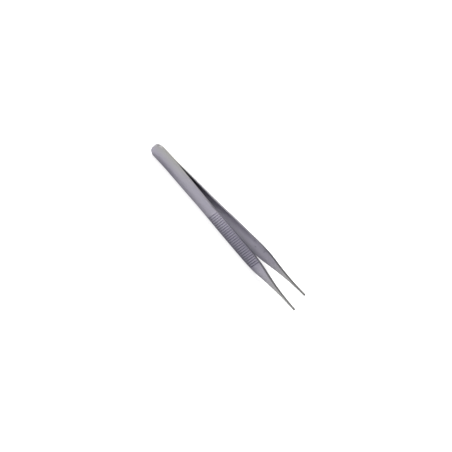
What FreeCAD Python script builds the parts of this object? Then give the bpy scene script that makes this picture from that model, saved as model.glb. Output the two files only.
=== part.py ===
"""Thumb forceps with slender points: two sprung steel arms, welded face to face at a round head."""

import FreeCAD, Part
import math
import os
import Sketcher

# Driving sizes in millimetres and degrees, and the counts of the patterns
SIZES = {
    # Whole instrument
    "overall_length": 130.0,
    "weld_length": 16.5,
    "tip_opening": 13.76,
    # Outline of a blade, seen on its broad face
    "head_width": 10.0,
    "waist_width": 9.0,
    "waist_share": 0.55,
    "waist_radius": 150.0,
    "grip_width": 10.0,
    "grip_straight_length": 12.5,
    "taper_length": 45.5,
    "shoulder_radius": 80.0,
    "tip_width": 1.0,
    "tip_length": 3.0,
    # Outer face: depth of the steel along its middle, and its two bends
    "head_thickness": 1.55,
    "root_bend_place": 14.5,
    "root_bend_radius": 120.0,
    "grip_depth": 2.31,
    "tip_bend_setback": 34.5,
    "tip_bend_radius": 100.0,
    "tip_thickness": 1.35,
    "crown_radius": 22.0,
    "outer_edge_break": 0.2,
    # Inner face: the crotch behind the weld, the flat jaw at the point
    "crotch_radius": 30.0,
    "jaw_length": 14.0,
    "jaw_turn_in": 0.27,
    "inner_edge_break": 0.15,
    # Finger grooves across the outer face
    "groove_setback": 75.6,
    "groove_pitch": 1.49,
    "groove_count": 27,
    "groove_depth": 0.38,
    "groove_angle": 90.0,
    # Fine serrations across the jaw
    "serration_setback": 1.0,
    "serration_pitch": 0.5,
    "serration_count": 22,
    "serration_depth": 0.14,
    "serration_angle": 90.0,
    # How far the cutting outlines reach past the steel
    "overrun": 2.0,
}

# Places along the forceps from the head, and the jaw's slope, worked out from the sizes
PLACES = {
    "grip_straight_start": "=overall_length - taper_length - grip_straight_length",
    "taper_start": "=overall_length - taper_length",
    "tip_start": "=overall_length - tip_length",
    "waist_place": "=weld_length + (grip_straight_start - weld_length) * waist_share",
    "tip_bend_place": "=overall_length - tip_bend_setback",
    "groove_start": "=overall_length - groove_setback",
    "serration_start": "=overall_length - serration_setback",
    "jaw_angle": "=atan(tip_opening / 2 / (overall_length - weld_length)) / 1 deg - jaw_turn_in",
}

# Names for the references of the sketcher
ORIGIN = (-1, 1)
X_AXIS = -1
FIRST_EXTERNAL = -3
START, END, CENTRE = range(1, 4)

OUTSIDE = 1
INSIDE = -1
RIM_SLOPE = 0.1
FACE_SLOPE = 0.9
UP = FreeCAD.Vector(0, 0, 1)


def point(x, y):
    return FreeCAD.Vector(x, y, 0)


def flip(position):
    """The same place on the other side of the sketch's X axis."""
    return point(position.x, -position.y)


def arc_between(centre, start, finish):
    """A counter-clockwise arc about a centre, from one point to another."""
    first = math.atan2(start.y - centre.y, start.x - centre.x)
    last = math.atan2(finish.y - centre.y, finish.x - centre.x)
    return Part.ArcOfCircle(Part.Circle(centre, UP, start.distanceToPoint(centre)), first, last)


def make_sheet(document):
    """Write every size and place into the spreadsheet, one named cell each, and read the places back."""
    sheet = document.addObject("Spreadsheet::Sheet", "sizes")
    for row, (name, content) in enumerate((SIZES | PLACES).items(), start=1):
        sheet.set(f"A{row}", name)
        sheet.set(f"B{row}", str(content))
        sheet.setAlias(f"B{row}", name)
    document.recompute()
    for name in PLACES:
        SIZES[name] = float(sheet.get(name))


def new_sketch(body, name, role):
    """A sketch on one of the body's own origin planes."""
    plane = next(feature for feature in body.Origin.OriginFeatures if feature.Role == role)
    sketch = body.newObject("Sketcher::SketchObject", name)
    sketch.AttachmentSupport = [(plane, "")]
    sketch.MapMode = "FlatFace"
    return sketch


def tie(sketch, kind, *references):
    sketch.addConstraint(Sketcher.Constraint(kind, *references))


def drive(sketch, kind, references, value, formula):
    """Add one dimension that follows a formula of the spreadsheet's sizes."""
    index = sketch.addConstraint(Sketcher.Constraint(kind, *references, value))
    sketch.setExpression(f"Constraints[{index}]", formula)


def drive_x(sketch, geometry, end, value, formula):
    drive(sketch, "DistanceX", (*ORIGIN, geometry, end), value, formula)


def drive_y(sketch, geometry, end, value, formula):
    drive(sketch, "DistanceY", (*ORIGIN, geometry, end), value, formula)


def new_feature(body, kind, name, profile, **bindings):
    """A feature of the body whose properties follow the spreadsheet's sizes."""
    feature = body.newObject(f"PartDesign::{kind}", name)
    feature.Profile = profile
    for target, formula in bindings.items():
        feature.setExpression(target, formula)
    return feature


def ogee(start, finish, start_radius):
    """Two arcs that meet tangent, each level where it starts: the radius of the first is given.

    Gives the centre of each arc and the point where they meet.
    """
    run = abs(finish.x - start.x)
    rise = abs(finish.y - start.y)
    side = math.copysign(1, finish.y - start.y)
    finish_radius = run / math.sin(2 * math.atan2(rise, run)) - start_radius
    start_centre = start + point(0, side * start_radius)
    finish_centre = finish - point(0, side * finish_radius)
    share = start_radius / (start_radius + finish_radius)
    return start_centre, finish_centre, start_centre + (finish_centre - start_centre) * share


def draw_upper_edge(sketch):
    """Upper edge of the blade, from the round head to the point.

    The width falls to a slight waist, swells to the grip, and then runs down in a long ogee to the
    slender point. Each swell and hollow is an arc tangent to its neighbours.
    """
    head = SIZES["head_width"] / 2
    tip = SIZES["tip_width"] / 2
    head_start = point(head, head)
    head_end = point(SIZES["weld_length"], head)
    waist = point(SIZES["waist_place"], SIZES["waist_width"] / 2)
    grip_start = point(SIZES["grip_straight_start"], SIZES["grip_width"] / 2)
    grip_end = point(SIZES["taper_start"], SIZES["grip_width"] / 2)
    tip_start = point(SIZES["tip_start"], tip)
    tip_end = point(SIZES["overall_length"] - tip, tip)
    waist_centre, flank_centre, flank_meet = ogee(waist, head_end, SIZES["waist_radius"])
    _, belly_centre, belly_meet = ogee(waist, grip_start, SIZES["waist_radius"])
    shoulder_centre, hollow_centre, taper_meet = ogee(grip_end, tip_start, SIZES["shoulder_radius"])

    shapes = [
        Part.LineSegment(head_start, head_end),
        arc_between(flank_centre, flank_meet, head_end),
        arc_between(waist_centre, flank_meet, belly_meet),
        arc_between(belly_centre, grip_start, belly_meet),
        Part.LineSegment(grip_start, grip_end),
        arc_between(shoulder_centre, taper_meet, grip_end),
        arc_between(hollow_centre, taper_meet, tip_start),
        Part.LineSegment(tip_start, tip_end),
    ]
    for shape in shapes:
        sketch.addGeometry(shape, False)
    head_line, flank, hollow_waist, belly, grip_line, shoulder, hollow, tip_line = range(len(shapes))
    joints = [
        (head_line, END, flank, END),
        (flank, START, hollow_waist, START),
        (hollow_waist, END, belly, END),
        (belly, START, grip_line, START),
        (grip_line, END, shoulder, END),
        (shoulder, START, hollow, START),
        (hollow, END, tip_line, START),
    ]
    for joint in joints:
        tie(sketch, "Tangent", *joint)
    for line in (head_line, grip_line, tip_line):
        tie(sketch, "Horizontal", line)

    drive_x(sketch, head_line, END, head_end.x, "sizes.weld_length")
    drive_y(sketch, head_line, END, head_end.y, "sizes.head_width / 2")
    drive_x(sketch, hollow_waist, CENTRE, waist_centre.x, "sizes.waist_place")
    drive_y(sketch, hollow_waist, CENTRE, waist_centre.y, "sizes.waist_width / 2 + sizes.waist_radius")
    drive(sketch, "Radius", (hollow_waist,), SIZES["waist_radius"], "sizes.waist_radius")
    drive_x(sketch, grip_line, START, grip_start.x, "sizes.grip_straight_start")
    drive_y(sketch, grip_line, START, grip_start.y, "sizes.grip_width / 2")
    drive_x(sketch, grip_line, END, grip_end.x, "sizes.taper_start")
    drive(sketch, "Radius", (shoulder,), SIZES["shoulder_radius"], "sizes.shoulder_radius")
    drive_x(sketch, tip_line, START, tip_start.x, "sizes.tip_start")
    drive_y(sketch, tip_line, START, tip_start.y, "sizes.tip_width / 2")
    return shapes, joints


def draw_lower_edge(sketch, shapes, joints):
    """The upper edge again, mirrored, and tied to it joint by joint."""
    twin = {}
    for above, shape in enumerate(shapes):
        is_line = isinstance(shape, Part.LineSegment)
        if is_line:
            mirrored = Part.LineSegment(flip(shape.StartPoint), flip(shape.EndPoint))
        else:
            mirrored = arc_between(flip(shape.Center), flip(shape.EndPoint), flip(shape.StartPoint))
        below = sketch.addGeometry(mirrored, False)
        twin[above, START] = (below, START if is_line else END)
        twin[above, END] = (below, END if is_line else START)
        if not is_line:
            tie(sketch, "Equal", above, below)
    for above, above_end, after, after_end in joints:
        tie(sketch, "Coincident", *twin[above, above_end], *twin[after, after_end])
        tie(sketch, "Symmetric", above, above_end, *twin[above, above_end], X_AXIS)
    return twin


def blade_outline(body):
    """Closed outline of the blade on its broad face: round head, waist, grip and slender point."""
    sketch = new_sketch(body, "blade_outline", "XZ_Plane")
    shapes, joints = draw_upper_edge(sketch)
    twin = draw_lower_edge(sketch, shapes, joints)
    head_line = 0
    tip_line = len(shapes) - 1
    head_start = shapes[head_line].StartPoint
    tip_end = shapes[tip_line].EndPoint
    head = sketch.addGeometry(arc_between(point(head_start.x, 0), head_start, flip(head_start)), False)
    tip = sketch.addGeometry(arc_between(point(tip_end.x, 0), flip(tip_end), tip_end), False)

    tie(sketch, "Tangent", head, START, head_line, START)
    tie(sketch, "Coincident", head, END, *twin[head_line, START])
    tie(sketch, "Symmetric", head_line, START, *twin[head_line, START], X_AXIS)
    drive_x(sketch, head, CENTRE, head_start.x, "sizes.head_width / 2")
    tie(sketch, "Tangent", tip, END, tip_line, END)
    tie(sketch, "Coincident", tip, START, *twin[tip_line, END])
    tie(sketch, "Symmetric", tip_line, END, *twin[tip_line, END], X_AXIS)
    drive_x(sketch, tip, CENTRE, tip_end.x, "sizes.overall_length - sizes.tip_width / 2")
    return sketch


def blank(body):
    """The flat blank, as thick as the whole spread of one arm."""
    pad = new_feature(
        body, "Pad", "blank", blade_outline(body),
        Length="sizes.tip_opening / 2 + sizes.tip_thickness + sizes.grip_depth",
    )
    pad.Reversed = True


def bend(first, corner, last, radius):
    """An arc of the given radius that rounds the corner of two straight runs.

    Gives its centre and its two ends, the first one on the first run.
    """
    before = (first - corner).normalize()
    after = (last - corner).normalize()
    half = before.getAngle(after) / 2
    reach = radius / math.tan(half)
    centre = corner + (before + after).normalize() * (radius / math.sin(half))
    return centre, corner + before * reach, corner + after * reach


def outer_path(body):
    """Side view of the outer face along its middle: three straight runs and two easy bends.

    The depth at the point bend is measured from the straight line between the crotch and the end of
    the jaw.
    """
    share = "(sizes.tip_bend_place - sizes.weld_length) / (sizes.overall_length - sizes.weld_length)"
    chord = SIZES["tip_opening"] / 2 * (SIZES["tip_bend_place"] - SIZES["weld_length"])
    chord /= SIZES["overall_length"] - SIZES["weld_length"]
    head = point(-SIZES["overrun"], SIZES["head_thickness"])
    root = point(SIZES["root_bend_place"], SIZES["head_thickness"])
    knee = point(SIZES["tip_bend_place"], chord + SIZES["grip_depth"])
    tip = point(SIZES["overall_length"], SIZES["tip_opening"] / 2 + SIZES["tip_thickness"])
    far_end = tip + (tip - knee) * (SIZES["overrun"] / (tip.x - knee.x))
    root_centre, root_start, root_end = bend(head, root, knee, SIZES["root_bend_radius"])
    knee_centre, knee_start, knee_end = bend(root, knee, tip, SIZES["tip_bend_radius"])

    sketch = new_sketch(body, "outer_path", "XY_Plane")
    head_run = sketch.addGeometry(Part.LineSegment(head, root_start), False)
    root_bend = sketch.addGeometry(arc_between(root_centre, root_start, root_end), False)
    blade_run = sketch.addGeometry(Part.LineSegment(root_end, knee_start), False)
    tip_bend = sketch.addGeometry(arc_between(knee_centre, knee_end, knee_start), False)
    tip_run = sketch.addGeometry(Part.LineSegment(knee_end, far_end), False)
    root_mark = sketch.addGeometry(Part.Point(root), True)
    knee_mark = sketch.addGeometry(Part.Point(knee), True)
    tip_mark = sketch.addGeometry(Part.Point(tip), True)

    tie(sketch, "Horizontal", head_run)
    tie(sketch, "Tangent", head_run, END, root_bend, START)
    tie(sketch, "Tangent", root_bend, END, blade_run, START)
    tie(sketch, "Tangent", blade_run, END, tip_bend, END)
    tie(sketch, "Tangent", tip_bend, START, tip_run, START)
    tie(sketch, "PointOnObject", root_mark, START, head_run)
    tie(sketch, "PointOnObject", root_mark, START, blade_run)
    tie(sketch, "PointOnObject", knee_mark, START, blade_run)
    tie(sketch, "PointOnObject", knee_mark, START, tip_run)
    tie(sketch, "PointOnObject", tip_mark, START, tip_run)
    drive(sketch, "DistanceX", (head_run, START, *ORIGIN), SIZES["overrun"], "sizes.overrun")
    drive_y(sketch, head_run, START, head.y, "sizes.head_thickness")
    drive_x(sketch, root_mark, START, root.x, "sizes.root_bend_place")
    drive(sketch, "Radius", (root_bend,), SIZES["root_bend_radius"], "sizes.root_bend_radius")
    drive_x(sketch, knee_mark, START, knee.x, "sizes.tip_bend_place")
    drive_y(sketch, knee_mark, START, knee.y, f"sizes.tip_opening / 2 * {share} + sizes.grip_depth")
    drive(sketch, "Radius", (tip_bend,), SIZES["tip_bend_radius"], "sizes.tip_bend_radius")
    drive_x(sketch, tip_mark, START, tip.x, "sizes.overall_length")
    drive_y(sketch, tip_mark, START, tip.y, "sizes.tip_opening / 2 + sizes.tip_thickness")
    drive_x(sketch, tip_run, END, far_end.x, "sizes.overall_length + sizes.overrun")
    return sketch


def crown_section(body):
    """Section of what is ground away outside the crowned outer face, behind the head."""
    radius = SIZES["crown_radius"]
    side = max(SIZES["head_width"], SIZES["grip_width"]) / 2 + SIZES["overrun"]
    far = SIZES["head_thickness"] + SIZES["tip_opening"] / 2
    far += SIZES["tip_thickness"] + SIZES["grip_depth"]
    centre = point(SIZES["head_thickness"] - radius, 0)
    corner = point(centre.x + math.sqrt(radius**2 - side**2), side)

    sketch = new_sketch(body, "crown_section", "YZ_Plane")
    sketch.setExpression("AttachmentOffset.Base.z", "-sizes.overrun")
    crown = sketch.addGeometry(arc_between(centre, flip(corner), corner), False)
    top = sketch.addGeometry(Part.LineSegment(corner, point(far, side)), False)
    back = sketch.addGeometry(Part.LineSegment(point(far, side), point(far, -side)), False)
    bottom = sketch.addGeometry(Part.LineSegment(point(far, -side), flip(corner)), False)

    tie(sketch, "Coincident", crown, END, top, START)
    tie(sketch, "Coincident", top, END, back, START)
    tie(sketch, "Coincident", back, END, bottom, START)
    tie(sketch, "Coincident", bottom, END, crown, START)
    tie(sketch, "Horizontal", top)
    tie(sketch, "Vertical", back)
    tie(sketch, "Horizontal", bottom)
    tie(sketch, "PointOnObject", crown, CENTRE, X_AXIS)
    tie(sketch, "Symmetric", crown, START, crown, END, X_AXIS)
    to_origin = (crown, CENTRE, *ORIGIN)
    drive(sketch, "DistanceX", to_origin, -centre.x, "sizes.crown_radius - sizes.head_thickness")
    drive(sketch, "Radius", (crown,), radius, "sizes.crown_radius")
    drive_y(sketch, crown, END, side, "max(sizes.head_width; sizes.grip_width) / 2 + sizes.overrun")
    depth = "sizes.head_thickness + sizes.tip_opening / 2 + sizes.tip_thickness + sizes.grip_depth"
    drive_x(sketch, back, START, far, depth)
    return sketch


def crown(body, path):
    """Grind the outer face: slightly crowned, and bent as the side view says."""
    cut = new_feature(body, "SubtractivePipe", "crown", crown_section(body))
    cut.Spine = (path, [])


def inner_outline(body):
    """Side view of the space between the arms: crotch, slightly bowed blade and flat jaw."""
    angle = math.radians(SIZES["jaw_angle"])
    along = point(math.cos(angle), math.sin(angle))
    across = point(-math.sin(angle), math.cos(angle))
    overrun = SIZES["overrun"]
    weld_end = point(SIZES["weld_length"], 0)
    crotch_radius = SIZES["crotch_radius"]
    crotch_centre = weld_end + point(0, crotch_radius)
    tip = point(SIZES["overall_length"], SIZES["tip_opening"] / 2)
    jaw_start = tip - along * (SIZES["jaw_length"] / math.cos(angle))
    jaw_end = tip + along * (overrun / math.cos(angle))
    reach = jaw_start - crotch_centre
    bow_radius = (reach.dot(reach) - crotch_radius**2) / (2 * (reach.dot(across) + crotch_radius))
    bow_centre = jaw_start - across * bow_radius
    share = crotch_radius / (crotch_radius + bow_radius)
    meet = crotch_centre + (bow_centre - crotch_centre) * share
    below_tip = point(jaw_end.x, -overrun)
    below_weld = point(weld_end.x, -overrun)

    sketch = new_sketch(body, "inner_outline", "XY_Plane")
    crotch = sketch.addGeometry(arc_between(crotch_centre, weld_end, meet), False)
    bow = sketch.addGeometry(arc_between(bow_centre, jaw_start, meet), False)
    jaw = sketch.addGeometry(Part.LineSegment(jaw_start, jaw_end), False)
    front = sketch.addGeometry(Part.LineSegment(jaw_end, below_tip), False)
    floor = sketch.addGeometry(Part.LineSegment(below_tip, below_weld), False)
    back = sketch.addGeometry(Part.LineSegment(below_weld, weld_end), False)
    tip_mark = sketch.addGeometry(Part.Point(tip), True)

    tie(sketch, "Tangent", crotch, END, bow, END)
    tie(sketch, "Tangent", bow, START, jaw, START)
    tie(sketch, "Coincident", jaw, END, front, START)
    tie(sketch, "Coincident", front, END, floor, START)
    tie(sketch, "Coincident", floor, END, back, START)
    tie(sketch, "Perpendicular", back, END, crotch, START)
    tie(sketch, "Vertical", front)
    tie(sketch, "Horizontal", floor)
    tie(sketch, "Vertical", back)
    tie(sketch, "PointOnObject", crotch, START, X_AXIS)
    tie(sketch, "PointOnObject", tip_mark, START, jaw)
    drive_x(sketch, crotch, START, weld_end.x, "sizes.weld_length")
    drive(sketch, "Radius", (crotch,), crotch_radius, "sizes.crotch_radius")
    drive(sketch, "Angle", (jaw,), angle, "sizes.jaw_angle")
    drive_x(sketch, jaw, START, jaw_start.x, "sizes.overall_length - sizes.jaw_length")
    drive_x(sketch, tip_mark, START, tip.x, "sizes.overall_length")
    drive_y(sketch, tip_mark, START, tip.y, "sizes.tip_opening / 2")
    drive_x(sketch, jaw, END, jaw_end.x, "sizes.overall_length + sizes.overrun")
    drive(sketch, "DistanceY", (floor, START, *ORIGIN), overrun, "sizes.overrun")
    return sketch


def inner_face(body):
    """Cut the arm free of its twin in front of the weld."""
    outline = inner_outline(body)
    pocket = new_feature(
        body, "Pocket", "inner_face", outline,
        Length="2 * max(sizes.head_width; sizes.grip_width)",
    )
    pocket.SideType = "Symmetric"
    return outline


def long_edges(shape, side):
    """Names of the edges where the blade's rim meets its outer face (side 1) or inner face (side -1).

    A face's slope is the part of its normal that points away from the other arm: nothing on the rim.
    """
    slopes = {}
    for face in shape.Faces:
        u_low, u_high, v_low, v_high = face.ParameterRange
        slopes[face.hashCode()] = face.normalAt((u_low + u_high) / 2, (v_low + v_high) / 2).y
    names = []
    for number, edge in enumerate(shape.Edges, start=1):
        neighbours = [slopes[face.hashCode()] for face in shape.ancestorsOfType(edge, Part.Face)]
        meets_rim = any(abs(slope) < RIM_SLOPE for slope in neighbours)
        meets_face = any(slope * side > FACE_SLOPE for slope in neighbours)
        if meets_rim and meets_face:
            names.append(f"Edge{number}")
    return names


def break_edges(body, name, side, size):
    """Break the sharp edges of one broad face with a small chamfer, all the way round the blade."""
    body.Document.recompute()
    before = body.Tip
    broken = body.newObject("PartDesign::Chamfer", name)
    broken.Base = (before, long_edges(before.Shape, side))
    broken.setExpression("Size", size)


def weld(body):
    """This arm's half of the weld: it fills the broken inner edges at the head, ground flush."""
    radius = SIZES["head_width"] / 2
    centre = point(radius, 0)
    head_start = point(radius, radius)
    head_end = point(SIZES["weld_length"], radius)
    sketch = new_sketch(body, "weld_outline", "XZ_Plane")
    head = sketch.addGeometry(arc_between(centre, head_start, flip(head_start)), False)
    top = sketch.addGeometry(Part.LineSegment(head_start, head_end), False)
    front = sketch.addGeometry(Part.LineSegment(head_end, flip(head_end)), False)
    bottom = sketch.addGeometry(Part.LineSegment(flip(head_end), flip(head_start)), False)
    tie(sketch, "Tangent", head, START, top, START)
    tie(sketch, "Coincident", top, END, front, START)
    tie(sketch, "Coincident", front, END, bottom, START)
    tie(sketch, "Tangent", bottom, END, head, END)
    tie(sketch, "Horizontal", top)
    tie(sketch, "Horizontal", bottom)
    tie(sketch, "Vertical", front)
    tie(sketch, "PointOnObject", head, CENTRE, X_AXIS)
    drive_x(sketch, head, CENTRE, radius, "sizes.head_width / 2")
    drive(sketch, "Radius", (head,), radius, "sizes.head_width / 2")
    drive_x(sketch, top, END, head_end.x, "sizes.weld_length")
    pad = new_feature(body, "Pad", "weld", sketch, Length="sizes.inner_edge_break")
    pad.Reversed = True


def repeat(body, cut, name, count, pitch):
    """Repeat a cut along the first construction line of its sketch."""
    pattern = body.newObject("PartDesign::LinearPattern", name)
    pattern.Originals = [cut]
    pattern.Direction = (cut.Profile[0], ["Axis0"])
    pattern.Mode = "Spacing"
    pattern.setExpression("Offset", pitch)
    pattern.setExpression("Occurrences", count)
    body.Tip = pattern


def draw_v_cutter(sketch, run, outwards, size):
    """A V that bites into a straight run of the blade, open well past the steel.

    The run is the sketch's first external line, and outwards is the direction away from the steel.
    """
    along = point(outwards.y, -outwards.x)
    depth = SIZES[f"{size}_depth"]
    angle = math.radians(SIZES[f"{size}_angle"])
    on_run = run.StartPoint - outwards * depth
    root = on_run + along * ((SIZES[f"{size}_start"] - on_run.x) / along.x)
    height = SIZES["overrun"] + depth
    rise = outwards * height
    reach = along * (height * math.tan(angle / 2))
    mouth = sketch.addGeometry(Part.LineSegment(root + rise - reach, root + rise + reach), False)
    near_side = sketch.addGeometry(Part.LineSegment(root, root + rise - reach), False)
    far_side = sketch.addGeometry(Part.LineSegment(root + rise + reach, root), False)

    tie(sketch, "Coincident", mouth, START, near_side, END)
    tie(sketch, "Coincident", mouth, END, far_side, START)
    tie(sketch, "Coincident", far_side, END, near_side, START)
    tie(sketch, "Parallel", mouth, FIRST_EXTERNAL)
    tie(sketch, "Equal", near_side, far_side)
    to_mouth = (mouth, START, FIRST_EXTERNAL)
    to_root = (near_side, START, FIRST_EXTERNAL)
    drive(sketch, "Distance", to_mouth, SIZES["overrun"], "sizes.overrun")
    drive(sketch, "Distance", to_root, depth, f"sizes.{size}_depth")
    drive(sketch, "Angle", (far_side, END, near_side, START), angle, f"sizes.{size}_angle")
    drive_x(sketch, near_side, START, root.x, f"sizes.{size}_start")


def finger_grooves(body, path):
    """V grooves across the grip, of even depth because each one turns about the axis of the crown."""
    blade = path.Geometry[2]
    along = (blade.EndPoint - blade.StartPoint).normalize()
    outwards = point(-along.y, along.x)
    axis_start = blade.StartPoint - outwards * SIZES["crown_radius"]
    axis_start += along * ((SIZES["groove_start"] - axis_start.x) / along.x)
    axis_end = axis_start + blade.EndPoint - blade.StartPoint

    sketch = new_sketch(body, "groove_section", "XY_Plane")
    sketch.addExternal(path.Name, "Edge3")
    axis = sketch.addGeometry(Part.LineSegment(axis_start, axis_end), True)
    tie(sketch, "Parallel", axis, FIRST_EXTERNAL)
    tie(sketch, "Equal", axis, FIRST_EXTERNAL)
    to_axis = (axis, START, FIRST_EXTERNAL)
    drive(sketch, "Distance", to_axis, SIZES["crown_radius"], "sizes.crown_radius")
    drive_x(sketch, axis, START, axis_start.x, "sizes.groove_start")
    draw_v_cutter(sketch, blade, outwards, "groove")
    groove = new_feature(
        body, "Groove", "finger_groove", sketch,
        Angle="4 * asin(sizes.grip_width / 2 / sizes.crown_radius)",
    )
    groove.ReferenceAxis = (sketch, ["Axis0"])
    groove.Midplane = True
    repeat(body, groove, "finger_grooves", "sizes.groove_count", "sizes.groove_pitch")


def jaw_serrations(body, inner):
    """Fine V cuts straight across the flat jaw, counted back from the point."""
    jaw = inner.Geometry[2]
    along = (jaw.EndPoint - jaw.StartPoint).normalize()
    outwards = point(along.y, -along.x)

    sketch = new_sketch(body, "serration_section", "XY_Plane")
    sketch.addExternal(inner.Name, "Edge3")
    axis = sketch.addGeometry(Part.LineSegment(jaw.EndPoint, jaw.StartPoint), True)
    tie(sketch, "Coincident", axis, START, FIRST_EXTERNAL, END)
    tie(sketch, "Coincident", axis, END, FIRST_EXTERNAL, START)
    draw_v_cutter(sketch, jaw, outwards, "serration")
    serration = new_feature(body, "Pocket", "serration", sketch, Length="2 * sizes.grip_width")
    serration.SideType = "Symmetric"
    repeat(body, serration, "serrations", "sizes.serration_count", "sizes.serration_pitch")


def make_arm(document, label, turn):
    """One forged arm, with its outer face towards +Y, then turned about the forceps' long axis."""
    body = document.addObject("PartDesign::Body", label)
    blank(body)
    path = outer_path(body)
    document.recompute()
    crown(body, path)
    inner = inner_face(body)
    break_edges(body, "outer_edges", OUTSIDE, "sizes.outer_edge_break")
    break_edges(body, "inner_edges", INSIDE, "sizes.inner_edge_break")
    weld(body)
    finger_grooves(body, path)
    document.recompute()
    jaw_serrations(body, inner)
    body.Placement = FreeCAD.Placement(FreeCAD.Vector(), FreeCAD.Rotation(FreeCAD.Vector(1, 0, 0), turn))
    body.setExpression("Placement.Base.x", "-sizes.overall_length / 2")
    body.setExpression("Placement.Base.z", "max(sizes.head_width; sizes.grip_width) / 2")
    document.recompute()
    return body


def check(document, arms):
    """Stop with a plain message if anything failed, or if a cut took no steel away."""
    for item in document.Objects:
        if "Invalid" in item.State or "Error" in item.State:
            raise RuntimeError(f"{item.Label} failed: {item.getStatusString()}")
    for arm in arms:
        if arm.Shape.isNull() or not arm.Shape.isValid() or len(arm.Shape.Solids) != 1:
            raise RuntimeError(f"{arm.Label} isn't one valid solid")
        volume = None
        for feature in arm.Group:
            if not feature.isDerivedFrom("PartDesign::Feature"):
                continue
            adds = feature.TypeId == "PartDesign::Pad"
            if volume is not None and adds != (feature.Shape.Volume > volume):
                raise RuntimeError(f"{feature.Label} of {arm.Label} changed the steel the wrong way")
            volume = feature.Shape.Volume


doc = FreeCAD.newDocument("thumb_forceps")
make_sheet(doc)
arms = [make_arm(doc, "left_arm", 0), make_arm(doc, "right_arm", 180)]
check(doc, arms)
os.makedirs("parts", exist_ok=True)
for arm in arms:
    arm.Shape.exportStep(f"parts/{arm.Label}.step")
    print(arm.Label, round(arm.Shape.Volume, 2), "mm3")
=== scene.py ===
"""Looks of a pair of slender thumb forceps, ground and satin finished, lying on a pale table."""

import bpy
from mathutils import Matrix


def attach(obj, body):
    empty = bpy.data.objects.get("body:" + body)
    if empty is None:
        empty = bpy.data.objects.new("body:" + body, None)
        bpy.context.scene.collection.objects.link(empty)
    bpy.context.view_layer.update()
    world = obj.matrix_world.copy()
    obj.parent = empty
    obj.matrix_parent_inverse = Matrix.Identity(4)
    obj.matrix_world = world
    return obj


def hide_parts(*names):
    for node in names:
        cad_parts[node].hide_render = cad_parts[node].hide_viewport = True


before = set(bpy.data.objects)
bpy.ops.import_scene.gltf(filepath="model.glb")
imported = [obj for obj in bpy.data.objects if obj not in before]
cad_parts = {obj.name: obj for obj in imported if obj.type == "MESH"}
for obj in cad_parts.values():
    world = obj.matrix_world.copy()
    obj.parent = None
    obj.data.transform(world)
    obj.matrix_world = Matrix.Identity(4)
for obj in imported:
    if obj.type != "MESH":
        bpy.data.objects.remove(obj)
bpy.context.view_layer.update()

import math

import bmesh
import bpy
from mathutils import Matrix, Vector

# Arms: each is one stainless steel blade, forged, ground along its length and finished on a satin
# wheel, which leaves fine lengthwise streaks. The grip's grooves and the jaw's serrations are
# milled afterwards and stay duller. The long edges are broken on a fine wheel, and their lighter
# colour is a painted highlight.
MERGE = 1e-6
CREASE = math.radians(30)
MILLED_FROM = -0.0125
MILLED_TO = 0.0643
MILLED_TILT = 0.45
EDGE_TILT = 0.5


def new_group(name, inputs, outputs):
    """A node group that takes vectors and puts out masks."""
    group = bpy.data.node_groups.new(name, "ShaderNodeTree")
    for label in inputs:
        group.interface.new_socket(name=label, in_out="INPUT", socket_type="NodeSocketVector")
    for label in outputs:
        group.interface.new_socket(name=label, in_out="OUTPUT", socket_type="NodeSocketFloat")
    return group


STREAK_SCALE = 6000.0
STREAK_DETAIL = 3.0
STREAK_ROUGHNESS = 0.6
LENGTHWISE = (0.03, 1.0, 1.0)
CROSSWISE = (1.0, 1.0, 0.05)


def make_wheel_marks():
    """Fine streaks left by a wheel or a cutter, drawn out along one direction."""
    group = new_group("wheel_marks", ["Position", "Stretch"], ["Mask"])
    inputs = group.nodes.new("NodeGroupInput")
    outputs = group.nodes.new("NodeGroupOutput")
    drawn_out = group.nodes.new("ShaderNodeVectorMath")
    drawn_out.operation = "MULTIPLY"
    noise = group.nodes.new("ShaderNodeTexNoise")
    noise.inputs["Scale"].default_value = STREAK_SCALE
    noise.inputs["Detail"].default_value = STREAK_DETAIL
    noise.inputs["Roughness"].default_value = STREAK_ROUGHNESS
    group.links.new(inputs.outputs["Position"], drawn_out.inputs[0])
    group.links.new(inputs.outputs["Stretch"], drawn_out.inputs[1])
    group.links.new(drawn_out.outputs["Vector"], noise.inputs["Vector"])
    group.links.new(noise.outputs["Fac"], outputs.inputs["Mask"])
    return group


def add_slope(tree, value, low, high):
    """A smooth rise from 0 to 1 while a value goes from low to high."""
    slope = tree.nodes.new("ShaderNodeMapRange")
    slope.interpolation_type = "SMOOTHSTEP"
    slope.inputs["From Min"].default_value = low
    slope.inputs["From Max"].default_value = high
    tree.links.new(value, slope.inputs["Value"])
    return slope.outputs["Result"]


def add_math(tree, operation, *values):
    """Values joined by one operation, two at a time: each may be a plain number."""
    joined = values[0]
    for value in values[1:]:
        node = tree.nodes.new("ShaderNodeMath")
        node.operation = operation
        for socket, part in zip(node.inputs, (joined, value)):
            if isinstance(part, float):
                socket.default_value = part
            else:
                tree.links.new(part, socket)
        joined = node.outputs["Value"]
    return joined


def add_band(tree, value, rise, fall):
    """A mask that rises to 1 over one stretch of a value and falls back over a later one."""
    risen = add_slope(tree, value, *rise)
    fallen = add_slope(tree, value, *fall)
    return add_math(tree, "SUBTRACT", risen, fallen)


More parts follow.
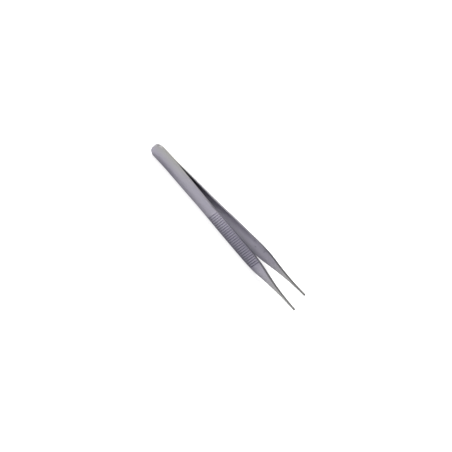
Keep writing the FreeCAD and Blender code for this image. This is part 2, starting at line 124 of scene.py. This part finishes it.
# Stretches along the forceps, in metres from their middle, over which a mark begins and ends.
GRIP_DARKER = ((-0.014, 0.006), (0.027, 0.035))
SHADED_HEAD_LOW = ((-0.060, -0.050), (-0.047, -0.037))
SHADED_GRIP_LOW = ((-0.014, -0.010), (0.028, 0.034))
LIT_UPPER_GRIP = ((-0.0126, -0.0112), (-0.003, 0.014))
LIT_UPPER_INSIDE = ((-0.014, 0.000), (0.020, 0.032))
SHADED_NEAR_EDGE = ((-0.024, -0.013), (0.022, 0.030))
SHADED_LOW_SIDE = ((0.000, 0.015), (0.034, 0.046))
SHADED_CROTCH = ((-0.0490, -0.0480), (-0.040, -0.018))
TOWARDS_POINTS = (0.032, 0.050)
BEHIND_HEAD = (-0.052, -0.026)

# Heights above the table, in metres, over which a mark grows to its full strength.
LOWER_PART = (0.005, 0.0)
UPPER_PART = (0.003, 0.008)
UPPER_HEAD = (0.004, 0.010)

# An inner face's normal points back to the middle plane: its Y times the place's Y is negative.
INSIDE_BELOW = -0.0005
CROTCH_BELOW = -0.000005
EDGE_FACING = 0.45

BLOTCH_SCALE = 220.0
BLOTCH_DETAIL = 2.0
BLOTCH_LIFT = 0.5
SHADE_INSIDE = 0.6
SHADE_OUTSIDE = 0.25
SPECK_SCALE = 330.0
SPECK_UNEVEN = 0.3
SPECK_RIM = (0.02, -0.05)


def make_handling():
    """Masks for a darker grip, painted shade low on the faces, painted light on upper parts,
    painted shade on the near edges, low on the sides and between the arms, specks, and greyer
    ends.
    """
    group = new_group("handling", ["Position", "Facing"], ["Grip", "Painted_light", "Shade_and_specks", "Ends"])
    inputs = group.nodes.new("NodeGroupInput")
    outputs = group.nodes.new("NodeGroupOutput")
    place = group.nodes.new("ShaderNodeSeparateXYZ")
    group.links.new(inputs.outputs["Position"], place.inputs["Vector"])
    facing = group.nodes.new("ShaderNodeSeparateXYZ")
    group.links.new(inputs.outputs["Facing"], facing.inputs["Vector"])
    along, across, height = (place.outputs[axis] for axis in "XYZ")

    outwards = add_math(group, "MULTIPLY", facing.outputs["Y"], across)
    outside = add_math(group, "GREATER_THAN", outwards, INSIDE_BELOW)
    inside = add_math(group, "LESS_THAN", outwards, INSIDE_BELOW)
    lower = add_slope(group, height, *LOWER_PART)
    upper = add_slope(group, height, *UPPER_PART)
    blotches = group.nodes.new("ShaderNodeTexNoise")
    blotches.inputs["Scale"].default_value = BLOTCH_SCALE
    blotches.inputs["Detail"].default_value = BLOTCH_DETAIL
    group.links.new(inputs.outputs["Position"], blotches.inputs["Vector"])

    # Darker in patches over the grip.
    patchy = add_math(group, "ADD", blotches.outputs["Fac"], BLOTCH_LIFT)
    darker_grip = add_math(group, "MULTIPLY", add_band(group, along, *GRIP_DARKER), patchy)
    # Painted shade: darker towards the bottom of the outer faces near the head and along the
    # grip.
    low_shade_head = add_band(group, along, *SHADED_HEAD_LOW)
    low_shade_grip = add_band(group, along, *SHADED_GRIP_LOW)
    low_shade = add_math(group, "MAXIMUM", low_shade_head, low_shade_grip)
    low_shade = add_math(group, "MULTIPLY", low_shade, lower)
    # The darker grip, joined with the painted shade low on the outer faces.
    grip_and_low_shade = add_math(group, "MAXIMUM", darker_grip, low_shade)
    grip_and_low_shade = add_math(group, "MULTIPLY", grip_and_low_shade, outside)
    group.links.new(grip_and_low_shade, outputs.inputs["Grip"])

    # Painted light: the upper part of the outer faces over the grip, and of the inner faces, is
    # made lighter.
    lit_upper_outside = add_math(group, "MULTIPLY", add_band(group, along, *LIT_UPPER_GRIP), upper, outside)
    lit_upper_inside = add_math(group, "MULTIPLY", add_band(group, along, *LIT_UPPER_INSIDE), upper, inside)
    painted_light_mask = add_math(group, "MAXIMUM", lit_upper_outside, lit_upper_inside)
    group.links.new(painted_light_mask, outputs.inputs["Painted_light"])

    tilt = add_math(group, "ABSOLUTE", facing.outputs["Y"], 0.0)
    on_edge = add_math(group, "LESS_THAN", tilt, EDGE_FACING)
    on_right = add_math(group, "LESS_THAN", across, 0.0)
    # Painted shade: the edges of the near arm over the grip are darkened.
    edge = add_math(group, "MULTIPLY", add_band(group, along, *SHADED_NEAR_EDGE), on_edge, on_right)
    # Painted shade: darker towards the bottom from the middle to the points, more on the inner
    # faces than on the outer ones.
    strength = add_math(group, "MULTIPLY", inside, SHADE_INSIDE)
    strength = add_math(group, "MAXIMUM", strength, SHADE_OUTSIDE)
    side = add_math(group, "MULTIPLY", add_band(group, along, *SHADED_LOW_SIDE), lower, strength)
    # Painted shade: the inner faces between the arms behind the weld are darkened.
    in_crotch = add_math(group, "LESS_THAN", outwards, CROTCH_BELOW)
    crotch_shade = add_math(group, "MULTIPLY", add_band(group, along, *SHADED_CROTCH), in_crotch)
    cells = group.nodes.new("ShaderNodeTexVoronoi")
    cells.inputs["Scale"].default_value = SPECK_SCALE
    group.links.new(inputs.outputs["Position"], cells.inputs["Vector"])
    uneven = add_math(group, "MULTIPLY", blotches.outputs["Fac"], SPECK_UNEVEN)
    spread = add_math(group, "SUBTRACT", cells.outputs["Distance"], uneven)
    specks = add_math(group, "MULTIPLY", add_slope(group, spread, *SPECK_RIM), inside)
    # Painted shade on the near edges, low on the sides and between the arms, together with the
    # specks on the inner faces.
    shade_and_specks_mask = add_math(group, "MAXIMUM", edge, side, crotch_shade, specks)
    group.links.new(shade_and_specks_mask, outputs.inputs["Shade_and_specks"])

    points = add_slope(group, along, *TOWARDS_POINTS)
    head = add_math(group, "SUBTRACT", 1.0, add_slope(group, along, *BEHIND_HEAD))
    head = add_math(group, "MULTIPLY", head, add_slope(group, height, *UPPER_HEAD))
    ends = add_math(group, "MAXIMUM", points, head)
    group.links.new(ends, outputs.inputs["Ends"])
    return group


wheel_marks = make_wheel_marks()
handling = make_handling()


def add_mix(tree, blend, factor, first, second):
    """Two colours mixed: each is a plain colour or the output of another node."""
    mix = tree.nodes.new("ShaderNodeMix")
    mix.data_type = "RGBA"
    mix.blend_type = blend
    tree.links.new(factor, mix.inputs["Factor"])
    for name, colour in (("A", first), ("B", second)):
        if isinstance(colour, tuple):
            mix.inputs[name].default_value = (*colour, 1.0)
        else:
            tree.links.new(colour, mix.inputs[name])
    return mix.outputs["Result"]


# Factors of the marks: the first lightens the steel as painted light, the second darkens it as
# painted shade and as specks.
PAINTED_LIGHT = (1.17, 1.17, 1.17)
SHADE_AND_SPECKS = (0.52, 0.52, 0.54)
MARK_STRENGTH = 0.15
MARK_DEPTH = 0.00002


def make_steel(name, stretch, dark, light, neutral, grip_and_low_shade, roughness):
    """Bare steel with marks drawn out along one way, darker over the grip, with painted light,
    painted shade and specks, and greyer at both ends.
    """
    material = bpy.data.materials.new(name)
    material.use_nodes = True
    tree = material.node_tree
    steel = tree.nodes["Principled BSDF"]
    steel.inputs["Metallic"].default_value = 1.0
    surface = tree.nodes.new("ShaderNodeTexCoord")
    marks = tree.nodes.new("ShaderNodeGroup")
    marks.node_tree = wheel_marks
    marks.inputs["Stretch"].default_value = stretch
    handled = tree.nodes.new("ShaderNodeGroup")
    handled.node_tree = handling
    tree.links.new(surface.outputs["Object"], marks.inputs["Position"])
    tree.links.new(surface.outputs["Object"], handled.inputs["Position"])
    tree.links.new(surface.outputs["Normal"], handled.inputs["Facing"])

    colour = add_mix(tree, "MIX", marks.outputs["Mask"], dark, light)
    colour = add_mix(tree, "MIX", handled.outputs["Ends"], colour, neutral)
    # The first factor darkens the grip and adds painted shade low on the faces, the next adds
    # painted light on upper parts, and the last adds painted shade and specks.
    colour = add_mix(tree, "MULTIPLY", handled.outputs["Grip"], colour, grip_and_low_shade)
    colour = add_mix(tree, "MULTIPLY", handled.outputs["Painted_light"], colour, PAINTED_LIGHT)
    colour = add_mix(tree, "MULTIPLY", handled.outputs["Shade_and_specks"], colour, SHADE_AND_SPECKS)
    tree.links.new(colour, steel.inputs["Base Color"])

    gloss = tree.nodes.new("ShaderNodeMapRange")
    gloss.inputs["To Min"].default_value, gloss.inputs["To Max"].default_value = roughness
    tree.links.new(marks.outputs["Mask"], gloss.inputs["Value"])
    tree.links.new(gloss.outputs["Result"], steel.inputs["Roughness"])

    bump = tree.nodes.new("ShaderNodeBump")
    bump.inputs["Strength"].default_value = MARK_STRENGTH
    bump.inputs["Distance"].default_value = MARK_DEPTH
    tree.links.new(marks.outputs["Mask"], bump.inputs["Height"])
    tree.links.new(bump.outputs["Normal"], steel.inputs["Normal"])
    return material


satin_steel = make_steel(
    "satin_steel",
    stretch=LENGTHWISE,
    dark=(0.286, 0.274, 0.320),
    light=(0.343, 0.329, 0.382),
    neutral=(0.329, 0.324, 0.328),
    grip_and_low_shade=(0.80, 0.80, 0.83),
    roughness=(0.32, 0.46),
)
milled_steel = make_steel(
    "milled_steel",
    stretch=CROSSWISE,
    dark=(0.318, 0.304, 0.358),
    light=(0.384, 0.368, 0.429),
    neutral=(0.358, 0.353, 0.358),
    grip_and_low_shade=(0.77, 0.76, 0.81),
    roughness=(0.38, 0.52),
)
# Painted highlight: the broken edges get a lighter steel colour than the faces.
edge_steel_painted_highlight = make_steel(
    "edge_steel_painted_highlight",
    stretch=LENGTHWISE,
    dark=(0.430, 0.418, 0.470),
    light=(0.510, 0.495, 0.550),
    neutral=(0.470, 0.468, 0.465),
    grip_and_low_shade=(0.84, 0.84, 0.86),
    roughness=(0.40, 0.52),
)
FINISHES = (satin_steel, milled_steel, edge_steel_painted_highlight)


def finish_of(face):
    """The number of the finish that a face of an arm has."""
    satin, milled, edge = range(len(FINISHES))
    middle = face.calc_center_median()
    tilt = [abs(part) for part in face.normal]
    if tilt[1] < MILLED_TILT:
        return satin
    if tilt[0] > MILLED_TILT and MILLED_FROM < middle.x < MILLED_TO:
        return milled
    return edge if math.hypot(tilt[0], tilt[2]) > EDGE_TILT else satin


for node in ("left_arm", "right_arm"):
    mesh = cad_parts[node].data.copy()
    mesh.name = f"{node}_satin"
    mesh.materials.clear()
    for material in FINISHES:
        mesh.materials.append(material)
    bm = bmesh.new()
    bm.from_mesh(mesh)
    bmesh.ops.remove_doubles(bm, verts=bm.verts, dist=MERGE)
    for face in bm.faces:
        face.material_index = finish_of(face)
    bm.to_mesh(mesh)
    bm.free()
    mesh.attributes.remove(mesh.attributes["custom_normal"])
    mesh.shade_smooth()
    mesh.set_sharp_from_angle(angle=CREASE)
    arm = bpy.data.objects.new(f"{node}_satin", mesh)
    bpy.context.scene.collection.objects.link(arm)
    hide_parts(node)
    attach(arm, "root")

# Table: a plain white board, matt and level, wide enough to fill the view. It takes the soft
# shadow of the forceps, and the near faces of both arms mirror it.
TABLE_SIDE = 6.0
TABLE_WHITE = (0.8, 0.8, 0.8, 1.0)
TABLE_ROUGHNESS = 0.9
WHITE_LIGHT = (1.0, 1.0, 1.0, 1.0)
SEEN_GLOW = 0.70
MIRRORED_GLOW = 0.45

bm = bmesh.new()
bmesh.ops.create_grid(bm, x_segments=1, y_segments=1, size=TABLE_SIDE / 2)
table_mesh = bpy.data.meshes.new("table")
bm.to_mesh(table_mesh)
bm.free()
table = bpy.data.objects.new("table", table_mesh)
bpy.context.scene.collection.objects.link(table)
board = bpy.data.materials.new("white_board")
board.use_nodes = True
tree = board.node_tree
paint = tree.nodes["Principled BSDF"]
paint.inputs["Base Color"].default_value = TABLE_WHITE
paint.inputs["Roughness"].default_value = TABLE_ROUGHNESS
paint.inputs["Specular IOR Level"].default_value = 0.0
paint.inputs["Emission Color"].default_value = WHITE_LIGHT
path = tree.nodes.new("ShaderNodeLightPath")
seen = add_math(tree, "MULTIPLY", path.outputs["Is Camera Ray"], SEEN_GLOW)
mirrored = add_math(tree, "MULTIPLY", path.outputs["Is Glossy Ray"], MIRRORED_GLOW)
glow = add_math(tree, "ADD", seen, mirrored)
tree.links.new(glow, paint.inputs["Emission Strength"])
table_mesh.materials.append(board)

# Light: a white room, one soft box behind the head that draws the gradient down the near faces,
# and a broad one straight behind that the upper edges and the rim of the head mirror. A weak one
# in front lightens the broken corners.
ROOM_WHITE = 0.3
SEEN_WHITE = 0.7

world = bpy.data.worlds.new("white_room")
bpy.context.scene.world = world
world.use_nodes = True
tree = world.node_tree
room = tree.nodes["Background"]
room.inputs["Color"].default_value = WHITE_LIGHT
path = tree.nodes.new("ShaderNodeLightPath")
seen = add_math(tree, "MULTIPLY", path.outputs["Is Camera Ray"], SEEN_WHITE)
brightness = add_math(tree, "ADD", seen, ROOM_WHITE)
tree.links.new(brightness, room.inputs["Strength"])


def soft_box(name, place, side, power, colour=(1.0, 1.0, 1.0)):
    """A square lamp that faces the forceps."""
    lamp = bpy.data.lights.new(name, "AREA")
    lamp.shape = "SQUARE"
    lamp.size = side
    lamp.energy = power
    lamp.color = colour
    holder = bpy.data.objects.new(name, lamp)
    bpy.context.scene.collection.objects.link(holder)
    holder.location = place
    holder.rotation_euler = (-Vector(place)).to_track_quat("-Z", "Y").to_euler()


soft_box("key_box", (-0.75, 0.35, 0.85), side=0.35, power=13.0)
soft_box("back_box", (-0.10, 0.80, 0.80), side=0.75, power=2.0, colour=(1.0, 0.98, 0.90))
soft_box("front_box", (-0.25, -0.70, 0.85), side=0.50, power=1.5)

# Camera: 45 degrees above the table, seen from the side and rolled so that the points run to the
# lower right of the picture.
ELEVATION = math.radians(45.0)
YAW = math.radians(9.32)
ROLL = math.radians(53.56)
DISTANCE = 0.655
LENS = 86.65
SENSOR = 36.0
NEAREST = 0.05
FARTHEST = 20.0
AIM = Vector((0.0, 0.0, 0.0046))
AIM_RIGHT = -0.00067
AIM_UP = -0.00029

forward = Vector(
    (
        math.sin(YAW) * math.cos(ELEVATION),
        math.cos(YAW) * math.cos(ELEVATION),
        -math.sin(ELEVATION),
    )
)
level_right = Vector((math.cos(YAW), -math.sin(YAW), 0.0))
level_up = level_right.cross(forward)
right = level_right * math.cos(ROLL) + level_up * math.sin(ROLL)
up = level_up * math.cos(ROLL) - level_right * math.sin(ROLL)
turn = Matrix((right, up, -forward)).transposed()
standpoint = AIM - forward * DISTANCE + right * AIM_RIGHT + up * AIM_UP
camera_data = bpy.data.cameras.new("camera")
camera_data.lens = LENS
camera_data.sensor_width = SENSOR
camera_data.clip_start = NEAREST
camera_data.clip_end = FARTHEST
camera = bpy.data.objects.new("camera", camera_data)
bpy.context.scene.collection.objects.link(camera)
camera.matrix_world = Matrix.Translation(standpoint) @ turn.to_4x4()
bpy.context.scene.camera = camera
bpy.context.scene.view_settings.view_transform = "Standard"
